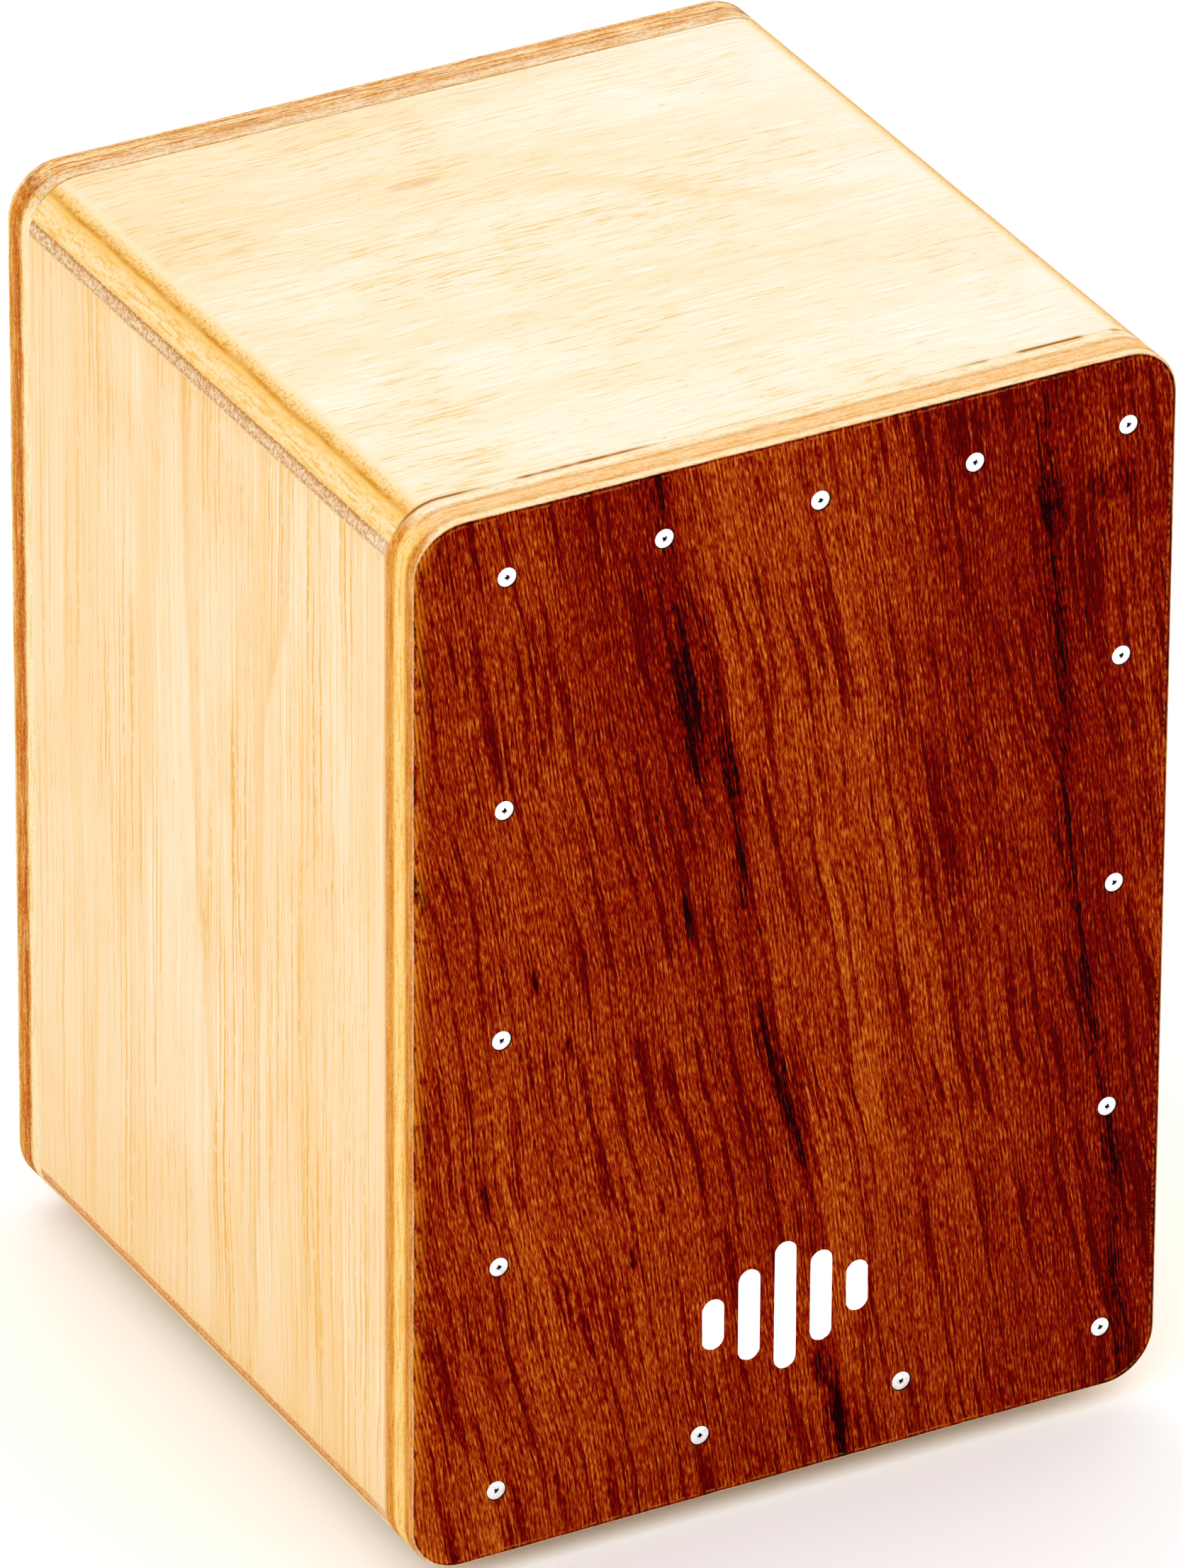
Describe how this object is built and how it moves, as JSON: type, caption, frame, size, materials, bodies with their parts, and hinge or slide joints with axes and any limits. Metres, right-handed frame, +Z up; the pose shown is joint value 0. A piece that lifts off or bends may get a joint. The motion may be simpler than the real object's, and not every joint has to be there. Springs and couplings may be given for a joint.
{
  "type": "cajon",
  "caption": "Compact box drum with a thin screwed-on front playing plate, rounded long edges, a round sound hole in the back and rubber feet.",
  "frame": {"origin": "on the floor, under the middle of the drum: the centre of the underside of its bounding box", "axes": "+Z up, the playing plate faces -Y, the sound hole faces +Y, +X to the right of someone who looks at the playing plate"},
  "size_m": [0.22, 0.2234, 0.3115],
  "materials": {
    "playing_face": "satin, red-brown veneer with upright grain",
    "frame_ply": "bare sanded plywood edge",
    "panel_ply": "pale satin plywood",
    "back_ply": "pale satin plywood",
    "batten_wood": "bare planed softwood",
    "screw_steel": "bright zinc plated",
    "snare_steel": "bright spring steel",
    "print_ink": "white screen-printed ink",
    "foot_rubber": "matt black rubber"
  },
  "bodies": {
    "root": {"playing_plate": "playing_face", "front_frame": "frame_ply", "top_panel": "panel_ply", "bottom_panel": "panel_ply", "left_side_panel": "panel_ply", "right_side_panel": "panel_ply", "back_panel": "back_ply", "upper_left_batten": "batten_wood", "upper_right_batten": "batten_wood", "lower_left_batten": "batten_wood", "lower_right_batten": "batten_wood", "snare_crossbar": "batten_wood", "left_crossbar_block": "batten_wood", "right_crossbar_block": "batten_wood", "playing_plate_screws": "screw_steel", "crossbar_screws": "screw_steel", "snare_screws": "screw_steel", "foot_screws": "screw_steel", "left_snare_plate": "snare_steel", "right_snare_plate": "snare_steel", "left_snare_wires": "snare_steel", "right_snare_wires": "snare_steel", "front_left_foot": "foot_rubber", "front_right_foot": "foot_rubber", "rear_left_foot": "foot_rubber", "rear_right_foot": "foot_rubber"}
  },
  "joints": []
}
